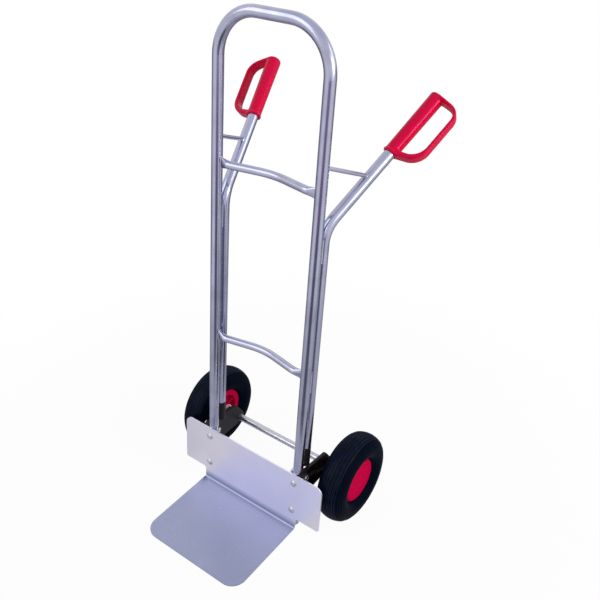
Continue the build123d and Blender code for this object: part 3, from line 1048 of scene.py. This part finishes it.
@dataclass
class Wheels:
    """Both wheels: modelled tyres on the CAD rims, hub caps, bushes and valves."""

    nodes: Nodes
    axle: Vector
    wheel_x: float = 0.246
    radius: float = 0.130
    half_width: float = 0.0425
    waist_radius: float = 0.091
    half_tread: float = 0.027
    tread_drop: float = 0.0064
    bead_x: float = 0.023
    bead_radius: float = 0.0645
    bead_seat: float = 0.051
    mouth_x: float = 0.014
    wall: float = 0.007
    groove_pitch: float = 0.0048
    grooves_a_side: int = 5
    groove_half_widths: Span = (0.0006, 0.0011)
    groove_depths: Span = (0.0012, 0.0024)
    groove_floor_share: float = 0.7
    ring_radii: tuple[float, ...] = (0.0695, 0.0745, 0.1035, 0.1105, 0.1165)
    ring_half_width: float = 0.0011
    ring_height: float = 0.0007
    wall_steps: int = 44
    sides: int = 160
    crease: float = 35.0

    @property
    def crown_bow(self) -> float:
        """The radius of the tread's bow from shoulder to shoulder."""
        return (self.half_tread**2 + self.tread_drop**2) / (2 * self.tread_drop)

    def tread_fall(self, x: float) -> float:
        """How far the tread lies below its crown at x."""
        return self.crown_bow - sqrt(self.crown_bow**2 - x**2)

    def tread_points(self) -> Outline:
        """The right half of the tread from the crown to the shoulder, with narrow and wide grooves in turn.

        Returns:
            The outline's corners, as (x, radius).
        """
        points: Outline = []
        for index in range(self.grooves_a_side + 1):
            x = index * self.groove_pitch
            wide = index % 2
            mouth = self.groove_half_widths[wide]
            base = mouth * self.groove_floor_share
            floor = self.radius - self.tread_fall(x) - self.groove_depths[wide]
            for edge, sunk in ((x - mouth, False), (x - base, True), (x + base, True), (x + mouth, False)):
                if edge > 0:
                    points.append((edge, floor if sunk else self.radius - self.tread_fall(edge)))
        return points

    def wall_points(self) -> Outline:
        """The right sidewall from the shoulder round to the bead, with its raised rings.

        Returns:
            The outline's corners, as (x, radius).
        """
        shoulder = (self.half_tread, self.radius - self.tread_drop)
        bead = (self.bead_x, self.bead_radius)
        points: Outline = []
        for end, downwards in ((shoulder, False), (bead, True)):
            centre, radius = self.arc(end)
            angle = atan2(end[1] - self.waist_radius, end[0] - centre)
            for step in range(self.wall_steps):
                share = step / self.wall_steps
                turn = angle * (share if downwards else 1 - share)
                out = radius + self.ring_at(self.waist_radius + radius * sin(turn))
                points.append((centre + out * cos(turn), self.waist_radius + out * sin(turn)))
        points.append(bead)
        return points

    def arc(self, end: Span) -> Span:
        """The sidewall's arc from the waist to a point.

        Args:
            end: The point, as (x, radius).

        Returns:
            The x of its centre, at the waist's radius, and the arc's radius.
        """
        run = self.half_width - end[0]
        rise = end[1] - self.waist_radius
        radius = (run * run + rise * rise) / (2 * run)
        return self.half_width - radius, radius

    def ring_at(self, height: float) -> float:
        """How far the sidewall stands out at a radius: its raised rings.

        Args:
            height: The radius.

        Returns:
            The height of the ring there, or 0 between rings.
        """
        nearest = min(abs(height - ring) for ring in self.ring_radii)
        share = max(0.0, 1 - nearest / self.ring_half_width)
        return self.ring_height * min(1.0, 2 * share)

    def tyre_outline(self) -> Outline:
        """The whole closed section: tread, both sidewalls, beads and the hollow for the air tube.

        Returns:
            The outline's corners, as (x, radius).
        """
        inside = [
            (self.bead_x, self.bead_seat),
            (self.mouth_x, self.bead_seat),
            (self.mouth_x, self.bead_radius),
            (self.half_width - 2 * self.wall, self.waist_radius - self.wall),
            (self.half_width - self.wall, self.waist_radius),
            (self.half_tread, self.radius - self.tread_drop - 2 * self.wall),
            (self.half_tread / 2, self.radius - 1.5 * self.wall),
        ]
        right = self.tread_points() + self.wall_points() + inside
        return right + [(-x, radius) for x, radius in reversed(right)]

    def tyre(self, side: Side) -> Piece:
        """One tyre in its place.

        Args:
            side: The wheel's side.

        Returns:
            The tyre.
        """
        piece = Bench.turned(f"ribbed_tyre_{side.word}", self.tyre_outline(), self.sides)
        Bench.smooth(piece, self.crease)
        return Bench.settle(piece, Matrix.Translation((side.value * self.wheel_x, self.axle.y, self.axle.z)))

    def build(self) -> None:
        """Dresses the wheels and adds their tyres."""
        middle = (self.axle.y, self.axle.z)
        rubber = TyreRubber(middle, self.wheel_x, self.radius, self.crown_bow, self.ring_radii).build()
        for side in Side:
            add_piece(self.tyre(side), side.wheel, rubber, [f"tyre_{side.word}"])
        finishes = (
            (WHEEL_RED, ("rim", "hub_cap")),
            (BUTYL, ("inner_tube", "valve_cap")),
            (NYLON, ("inner_bush", "outer_bush")),
            (NICKELLED_BRASS, ("valve_stem",)),
        )
        for finish, names in finishes:
            dress(self.nodes, sided(*names), finish.build())


@dataclass
class Fasteners:
    """The bolts and nuts, with chamfered heads and threads."""

    axes: FrameAxes
    bolt_radius: float = 0.004
    bolt_end: float = 0.002
    thread_pitch: float = 0.00125
    thread_depth: float = 0.0006
    thread_turns: int = 10
    hex_across: float = 0.013
    hex_head: float = 0.0053
    nut_height: float = 0.0065
    chamfer: float = 0.0009
    dome_radius: float = 0.0095
    dome_height: float = 0.0046
    dome_rim: float = 0.0009
    dome_steps: int = 8
    plate: float = 0.004
    plate_heights: Span = (0.062, 0.158)
    bracket_heights: Span = (0.122, 0.183)
    bracket_face: float = 0.178
    sides: int = 36
    crease: float = 30.0

    def shank(self, length: float, start: float) -> Outline:
        """Half the outline of a threaded shank, from where it starts to its end on the axis.

        Args:
            length: How far the shank reaches from the head's seat.
            start: Where it starts, as an x.

        Returns:
            The outline's corners.
        """
        root = self.bolt_radius - self.thread_depth
        first = -length + self.thread_pitch * self.thread_turns
        points = [(start, self.bolt_radius), (first, self.bolt_radius)]
        for turn in range(self.thread_turns):
            x = first - turn * self.thread_pitch
            points.append((x - self.thread_pitch / 2, root))
            points.append((x - self.thread_pitch, self.bolt_radius))
        points[-1] = (-length, root)
        return points + [(-length, 0.0)]

    def chamfered(self, name: str, height: float, both: bool) -> Piece:
        """A hexagon whose corners are turned off at its outer end, or at both ends.

        Args:
            name: The piece's name.
            height: Its height.
            both: Whether the seat's end is turned off too.

        Returns:
            The piece, along X from the origin.
        """
        corner = self.hex_across / 2 / cos(HEX_HALF_ANGLE) + self.chamfer / 2
        flat = self.hex_across / 2 - self.chamfer / 4
        inner_end = [(0.0, flat), (self.chamfer, corner)] if both else [(0.0, corner)]
        outer_end = [(height - self.chamfer, corner), (height, flat)]
        envelope = [(0.0, 0.0), *inner_end, *outer_end, (height, 0.0)]
        piece = Bench.hexagon(name, self.hex_across, height)
        return Bench.cut(piece, "INTERSECT", Bench.turned("envelope", envelope, self.sides, False))

    def hex_bolt(self) -> Piece:
        """A hexagon bolt, with its seat at the origin and its head along +X.

        Returns:
            The bolt.
        """
        grip = self.bracket_face - (self.axes.upright_x - self.axes.tube_radius)
        length = grip + self.nut_height + self.bolt_end
        start = self.hex_head / 2
        shank = Bench.turned("shank", [(start, 0.0), *self.shank(length, start)], self.sides, False)
        return Bench.cut(self.chamfered("hex_bolt", self.hex_head, False), "UNION", shank)

    def dome_bolt(self) -> Piece:
        """A round-headed bolt, with its seat at the origin and its head along +X.

        Returns:
            The bolt.
        """
        rise = self.dome_height - self.dome_rim
        ball = (self.dome_radius**2 + rise**2) / (2 * rise)
        reach = atan2(self.dome_radius, ball - rise)
        turns = [reach * step / self.dome_steps for step in range(self.dome_steps + 1)]
        head = [(self.dome_height - ball + ball * cos(turn), ball * sin(turn)) for turn in turns]
        length = 2 * self.axes.tube_radius + self.plate + self.nut_height + self.bolt_end
        outline = [*head, (0.0, self.dome_radius), *self.shank(length, 0.0)]
        return Bench.turned("dome_bolt", outline, self.sides, False)

    def nut(self) -> Piece:
        """A nut with both ends chamfered, with its seat at the origin, along +X.

        Returns:
            The nut.
        """
        over = self.nut_height / 4
        low, high = -over, self.nut_height + over
        bore = [(low, 0.0), (low, self.bolt_radius), (high, self.bolt_radius), (high, 0.0)]
        tool = Bench.turned("bore", bore, self.sides, False)
        return Bench.cut(self.chamfered("nut", self.nut_height, True), "DIFFERENCE", tool)

    def set_of(self, name: str, model: Piece, seats: Iterable[Vector], way: Vector) -> Piece:
        """Copies of a fastener on both sides of the frame, as one piece.

        Args:
            name: The piece's name.
            model: The fastener along X, which is cleared away.
            seats: The place of each seat on the right side.
            way: The way that the fasteners point on the right side.

        Returns:
            The piece.
        """
        copies = []
        for place in seats:
            for side in Side:
                turn = Vector((1, 0, 0)).rotation_difference(way * side.flip).to_matrix().to_4x4()
                copies.append(Bench.copy(model, Matrix.Translation(place * side.flip) @ turn))
        bpy.data.objects.remove(model)
        piece = Bench.settle(Bench.joined(name, copies), self.axes.place)
        return Bench.smooth(piece, self.crease)

    def build(self) -> None:
        """Models every bolt and nut in place of its CAD node."""
        zinc = ZINC_FASTENERS.build()
        x, tube = self.axes.upright_x, self.axes.tube_radius
        sets = (
            ("toe_plate_bolts", self.dome_bolt(), (x, -tube - self.plate), self.plate_heights, (0, -1, 0)),
            ("toe_plate_nuts", self.nut(), (x, tube), self.plate_heights, (0, 1, 0)),
            ("bracket_bolts", self.hex_bolt(), (self.bracket_face, 0), self.bracket_heights, (1, 0, 0)),
            ("bracket_nuts", self.nut(), (x - tube, 0), self.bracket_heights, (-1, 0, 0)),
        )
        for node, model, spot, heights, way in sets:
            seats = [Vector((*spot, height)) for height in heights]
            piece = self.set_of(f"threaded_{node}", model, seats, Vector(way))
            add_piece(piece, FRAME_BODY, zinc, [node])


@dataclass
class Running:
    """The axle with its brackets, spacers and washers, the moulded plugs, and the toe plate."""

    nodes: Nodes
    plate_edge: float = 0.0007
    bracket_edge: float = 0.0008
    edge_steps: int = 2
    flat_angle: float = radians(1.0)
    edge_angle: float = radians(40.0)
    crease: float = 45.0
    face_weight: int = 100

    def rounded(self, name: str, node: Piece, radius: float) -> Piece:
        """A CAD piece whose sharp edges are broken.

        Args:
            name: The new piece's name.
            node: The CAD node.
            radius: How far the edges are broken.

        Returns:
            The piece.
        """
        piece = Bench.from_node(name, node)
        Bench.edit_all()
        bpy.ops.mesh.dissolve_limited(angle_limit=self.flat_angle)
        Bench.leave()
        settings = {"limit_method": "ANGLE", "angle_limit": self.edge_angle, "segments": self.edge_steps}
        Bench.modify(piece, "BEVEL", width=radius, use_clamp_overlap=True, **settings)
        Bench.smooth(piece, self.crease)
        return Bench.modify(piece, "WEIGHTED_NORMAL", keep_sharp=True, weight=self.face_weight)

    def build(self) -> None:
        """Dresses the running gear and the toe plate."""
        black = BLACK_MOULDING.build()
        for side in Side:
            node = f"axle_bracket_{side.word}"
            bracket = self.rounded(f"ribbed_bracket_{side.word}", self.nodes[node], self.bracket_edge)
            add_piece(bracket, FRAME_BODY, black, [node])
        plate = self.rounded("folded_toe_plate", self.nodes["toe_plate"], self.plate_edge)
        add_piece(plate, FRAME_BODY, RolledSheet().build(), ["toe_plate"])
        dress(self.nodes, ["foot_plugs", "handle_plugs"], black)
        dress(self.nodes, ["axle", "axle_spacers", "axle_washers", "axle_retainers"], ZINC_PLATE.build())


@dataclass
class Grips:
    """The guard grips, each one moulding with its edges and roots flowing into each other."""

    nodes: Nodes
    handle_way: Vector
    handle_point: Vector
    voxel: float = 0.001
    easing: float = 0.5
    rounds: int = 34
    head_depth: float = 0.0095
    head_reach: float = 0.050

    def head(self, side: Side, node: Piece) -> Piece:
        """A hull round the grip's end, which carries the sleeve over into the guard's upper arm.

        Args:
            side: The grip's side.
            node: Its CAD node.

        Returns:
            The hull.
        """
        way, point = self.handle_way * side.flip, self.handle_point * side.flip
        piece = Bench.from_node(f"grip_head_{side.word}", node)
        places = [corner.co - point for corner in piece.data.vertices]
        end = max(place.dot(way) for place in places)
        offsets = [place - place.dot(way) * way for place in places]
        guard = max(offsets, key=lambda offset: offset.length).normalized()

        def past_head(corner: bpy.types.MeshVertex) -> bool:
            """Whether a corner lies outside the grip's end."""
            place = corner.co - point
            return place.dot(way) < end - self.head_depth or place.dot(guard) > self.head_reach

        Bench.choose(piece, past_head)
        bpy.ops.mesh.delete(type="VERT")
        Bench.edit_all()
        bpy.ops.mesh.convex_hull()
        Bench.leave()
        return piece

    def grip(self, side: Side, node: Piece) -> Piece:
        """One grip with blended edges.

        Args:
            side: Its side.
            node: Its CAD node.

        Returns:
            The grip.
        """
        sleeve = Bench.from_node("grip_sleeve", node)
        piece = Bench.joined(f"moulded_grip_{side.word}", [sleeve, self.head(side, node)])
        Bench.modify(piece, "REMESH", mode="VOXEL", voxel_size=self.voxel)
        Bench.modify(piece, "SMOOTH", factor=self.easing, iterations=self.rounds)
        Bench.take(piece)
        bpy.ops.object.shade_smooth()
        return piece

    def build(self) -> None:
        """Models and dresses both grips."""
        right_grip = self.nodes[f"grip_{Side.RIGHT.word}"]
        end = max(corner.co.dot(self.handle_way) for corner in right_grip.data.vertices)
        red = replace(GRIP_RED, way=self.handle_way, end=end).build()
        for side in Side:
            name = f"grip_{side.word}"
            add_piece(self.grip(side, self.nodes[name]), FRAME_BODY, red, [name])


@dataclass(frozen=True)
class Card:
    """A studio card, spun from a line about the truck, which only shows in polished pieces.

    Its line runs from start to end, each a distance from the truck's middle and a height. Bearing is where
    its middle stands, counted in degrees from the camera's side. It fades out towards its sides, over the
    angle soft, and towards its far end, over the share fade.
    """

    name: str
    tone: Colour
    bearing: float
    spread: float
    start: Span
    end: Span
    soft: float = 20.0
    fade: float = 0.3
    steps: int = 48


@dataclass(frozen=True)
class Softbox:
    """A soft lamp that points at the truck's middle."""

    name: str
    place: tuple[float, float, float]
    size: Span
    power: float


CARDS = (
    Card("card_under", (0.66, 0.66, 0.68), 0.0, 400.0, (0.0, 0.0005), (1.9, 0.0005), fade=0.5),
    Card("card_behind", (0.42, 0.42, 0.47), 180.0, 220.0, (0.3, 0.0010), (3.5, 0.0010), soft=55.0, fade=0.4),
    Card("card_far_behind", (0.24, 0.25, 0.31), 180.0, 220.0, (1.6, 0.0015), (16.0, 0.0015), soft=55.0),
    Card("card_ahead", (0.13, 0.135, 0.18), 0.0, 76.0, (0.6, 0.0020), (3.4, 0.0020), soft=24.0),
    Card("card_far_ahead", (0.27, 0.17, 0.33), 0.0, 70.0, (2.6, 0.0025), (16.0, 0.0025), soft=24.0),
    Card("card_roof", (0.84, 0.87, 0.94), 0.0, 400.0, (0.0, 6.0), (4.6, 6.0)),
)
SOFTBOXES = (
    Softbox("key_softbox", (-1.8, -2.6, 3.0), (2.8, 2.8), 30.0),
    Softbox("rim_softbox", (2.4, 1.6, 2.4), (1.2, 1.6), 10.0),
    Softbox("side_softbox", (3.15, 0.38, 1.85), (0.8, 0.8), 34.0),
    Softbox("wide_softbox", (3.3, -0.1, 1.9), (2.0, 2.0), 14.0),
)


@dataclass
class Studio:
    """Floor, light, cards and camera."""

    floor_size: float = 60.0
    floor_glow: float = 0.955
    floor_fade: Span = (0.5, 1.5)
    floor_colour: Colour = (0.66, 0.66, 0.67)
    sky_light: float = 0.48
    target: Vector = field(default_factory=lambda: Vector((0, 0, 0.65)))
    camera_place: Vector = field(default_factory=lambda: Vector((1.00813, -1.24277, 1.69184)))
    camera_bearing: float = radians(36.07)
    camera_rise: float = radians(33.1)
    camera_roll: float = radians(0.82)
    lens: float = 45.25
    sensor: float = 36.0

    def seen(self, graph: Graph) -> Value:
        """1 on rays from the camera and on rays that metal or glass sends on.

        Args:
            graph: The node tree of the floor or the sky.

        Returns:
            The mask.
        """
        path = graph.node("ShaderNodeLightPath", {}, {}).outputs
        names = ("Is Camera Ray", "Is Glossy Ray", "Is Transmission Ray")
        camera, glossy, through = [Value(graph, path[name]) for name in names]
        return graph.math("MINIMUM", camera + glossy + through, 1.0)

    def floor(self) -> None:
        """A plain pale floor that keeps a little of the truck's shadow."""
        Bench.clear()
        bpy.ops.mesh.primitive_plane_add(size=self.floor_size, location=ORIGIN)
        floor = bpy.context.object
        floor.name = "studio_floor"
        graph = Graph.finish_named("pale_floor")
        x, y, _ = graph.axes()
        away = ((x**2.0 + y**2.0) ** 0.5).between(*self.floor_fade)
        glow = self.floor_glow + (1 - self.floor_glow) * away
        plain = graph.node("ShaderNodeBsdfDiffuse", {}, {"Color": (*self.floor_colour, 1.0)})
        white = graph.node("ShaderNodeEmission", {}, {"Color": WHITE, "Strength": 1.0})
        floor.data.materials.append(graph.blend(self.seen(graph) * glow, plain, white))

    def card(self, card: Card) -> None:
        """Puts up a card, out of sight of the camera and of the lamps.

        Args:
            card: The card.
        """
        middle = self.camera_bearing + radians(card.bearing)
        spread = min(radians(card.spread), tau)
        line = [Vector((0, -reach, height)) for reach, height in (card.start, card.end)]
        piece = Bench.chain(card.name, line, False)
        Bench.edit_all()
        bpy.ops.mesh.spin(steps=card.steps, angle=spread, center=ORIGIN, axis=(0, 0, -1))
        Bench.leave()
        Bench.settle(piece, Matrix.Rotation(middle - spread / 2, 4, "Z"))
        piece.data.materials.append(self.card_finish(card, middle))
        for ray in ("visible_camera", "visible_diffuse", "visible_shadow", "visible_transmission"):
            setattr(piece, ray, False)

    def card_finish(self, card: Card, middle: float) -> Material:
        """The card's own tone, fading out towards its edges.

        Args:
            card: The card.
            middle: The bearing of its middle, from the load's side, in radians.

        Returns:
            The material.
        """
        graph = Graph.finish_named(f"{card.name}_tone")
        x, y, z = graph.axes()
        aside = x * cos(middle) + y * sin(middle)
        ahead = x * sin(middle) - y * cos(middle)
        half = radians(card.spread) / 2
        past_side = graph.math("ARCTAN2", aside, ahead).unsigned.between(half - radians(card.soft), half)
        run, rise = card.end[0] - card.start[0], card.end[1] - card.start[1]
        reach = (x**2.0 + y**2.0) ** 0.5
        along = ((reach - card.start[0]) * run + (z - card.start[1]) * rise) * (1 / (run**2 + rise**2))
        past_end = along.between(1 - card.fade, 1.0)
        tone = graph.node("ShaderNodeEmission", {}, {"Color": (*card.tone, 1.0), "Strength": 1.0})
        clear = graph.node("ShaderNodeBsdfTransparent", {}, {})
        return graph.blend(graph.math("MAXIMUM", past_side, past_end), tone, clear)

    def sky(self) -> None:
        """A white surround, which lights the truck softly from all sides."""
        world = bpy.data.worlds.new("studio")
        bpy.context.scene.world = world
        graph = Graph(world)
        background = graph.tree.nodes["Background"]
        graph.join(background.inputs["Color"], WHITE)
        graph.join(background.inputs["Strength"], self.sky_light + (1 - self.sky_light) * self.seen(graph))

    def lamp(self, softbox: Softbox) -> None:
        """Sets up a soft lamp.

        Args:
            softbox: The lamp.
        """
        Bench.clear()
        place = Vector(softbox.place)
        bpy.ops.object.light_add(type="AREA", location=place)
        lamp = bpy.context.object
        lamp.name = softbox.name
        lamp.data.shape = "RECTANGLE"
        lamp.data.size, lamp.data.size_y = softbox.size
        lamp.data.energy = softbox.power
        lamp.rotation_euler = (self.target - place).to_track_quat("-Z", "Y").to_euler()

    def camera(self) -> None:
        """The camera at the photograph's viewing angle."""
        Bench.clear()
        bpy.ops.object.camera_add(location=self.camera_place)
        camera = bpy.context.object
        bearing, rise, roll = self.camera_bearing, self.camera_rise, self.camera_roll
        ahead = Vector((-sin(bearing) * cos(rise), cos(bearing) * cos(rise), -sin(rise)))
        right = Vector((cos(bearing), sin(bearing), 0))
        up = right.cross(ahead)
        tilted_right = right * cos(roll) + up * sin(roll)
        tilted_up = up * cos(roll) - right * sin(roll)
        camera.rotation_euler = Matrix((tilted_right, tilted_up, -ahead)).transposed().to_euler()
        camera.data.lens = self.lens
        camera.data.sensor_width = self.sensor
        bpy.context.scene.camera = camera

    def build(self) -> None:
        """Sets up the whole studio."""
        self.floor()
        self.sky()
        for card in CARDS:
            self.card(card)
        for softbox in SOFTBOXES:
            self.lamp(softbox)
        self.camera()
        bpy.context.scene.view_settings.view_transform = "Standard"


def main() -> None:
    """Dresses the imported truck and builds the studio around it."""
    logging.basicConfig(level=logging.INFO, format="%(name)s: %(message)s")
    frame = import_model()
    nodes = frame["nodes"]
    low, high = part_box("axle")
    axle = (low + high) / 2
    axes = FrameAxes(axle)
    tubes = TubeFrame(nodes, axes)
    tubes.build()
    Grips(nodes, axes.place.to_3x3() @ tubes.handle_way, axes.place @ tubes.handle_corner).build()
    Running(nodes).build()
    Fasteners(axes).build()
    Wheels(nodes, axle).build()
    Studio().build()


if __name__ == "__main__":
    main()
